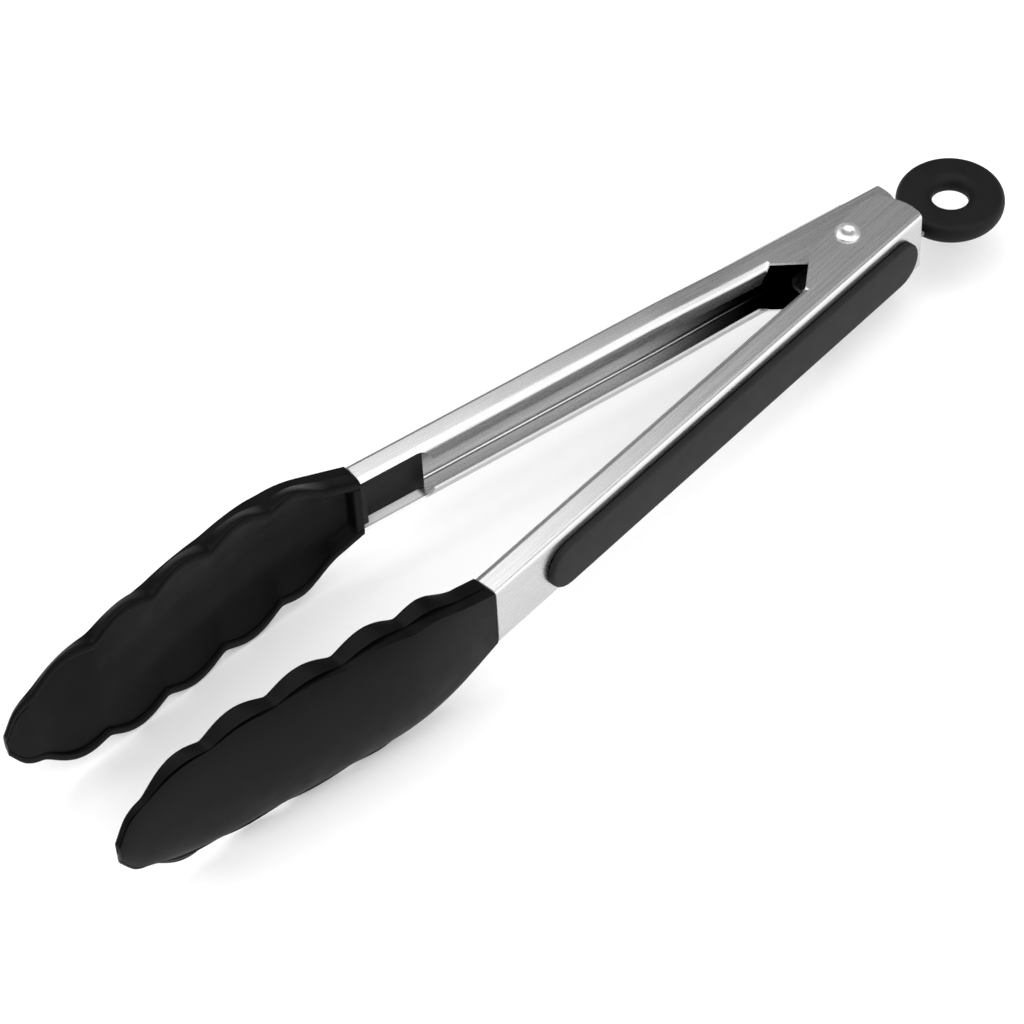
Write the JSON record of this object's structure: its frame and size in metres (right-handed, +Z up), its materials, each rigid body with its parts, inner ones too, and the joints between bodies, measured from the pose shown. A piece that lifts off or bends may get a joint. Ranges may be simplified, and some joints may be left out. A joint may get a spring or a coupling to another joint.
{
  "type": "kitchen tongs",
  "caption": "Spring loaded kitchen tongs: nested steel channel arms on a rivet, scalloped soft scoop heads, soft grip pads and a sliding lock with a pull ring.",
  "frame": {"origin": "centre of the bottom of the bounding box, with the tongs lying on their side and the jaws open", "axes": "+X along the bisector of the arms towards the jaw tips, +Y towards the outer arm, +Z up along the rivet"},
  "size_m": [0.3412, 0.0694, 0.0497],
  "materials": {
    "stainless": "brushed along the arm, bright on the bends",
    "rivet_steel": "polished",
    "spring_wire": "drawn wire",
    "lock_steel": "plain rolled strip",
    "nylon": "fine satin moulded",
    "grip_rubber": "matt soft touch",
    "silicone": "smooth matt silicone",
    "ring_rubber": "matt soft touch"
  },
  "bodies": {
    "outer_jaw": {"outer_arm": "stainless", "outer_grip_pad": "grip_rubber", "outer_head_core": "nylon", "outer_head_cover": "silicone", "pivot_rivet": "rivet_steel"},
    "inner_jaw": {"inner_arm": "stainless", "inner_grip_pad": "grip_rubber", "inner_head_core": "nylon", "inner_head_cover": "silicone"},
    "pivot_bush": {"spring_bush": "nylon", "torsion_spring": "spring_wire"},
    "lock": {"lock_strip": "lock_steel", "pull_ring": "ring_rubber"}
  },
  "joints": [
    {"name": "jaw_pivot", "type": "hinge", "parent": "outer_jaw", "child": "inner_jaw", "pos_m": [-0.11212, 0, 0.02486], "axis": [0, 0, 1], "range_deg": [0, 9.3], "stiffness_Nm_per_rad": 1.2, "springref_deg": -20.05, "deforming": ["torsion_spring"]},
    {"name": "bush_turn", "type": "hinge", "parent": "outer_jaw", "child": "pivot_bush", "pos_m": [-0.11212, 0, 0.02486], "axis": [0, 0, 1], "range_deg": [0, 4.65]},
    {"name": "ring_pull", "type": "slide", "parent": "pivot_bush", "child": "lock", "axis": [-1, 0, 0], "range_m": [0, 0.008]}
  ],
  "couplings": [
    {"joint": "bush_turn", "follows": "jaw_pivot", "ratio": 0.5}
  ]
}
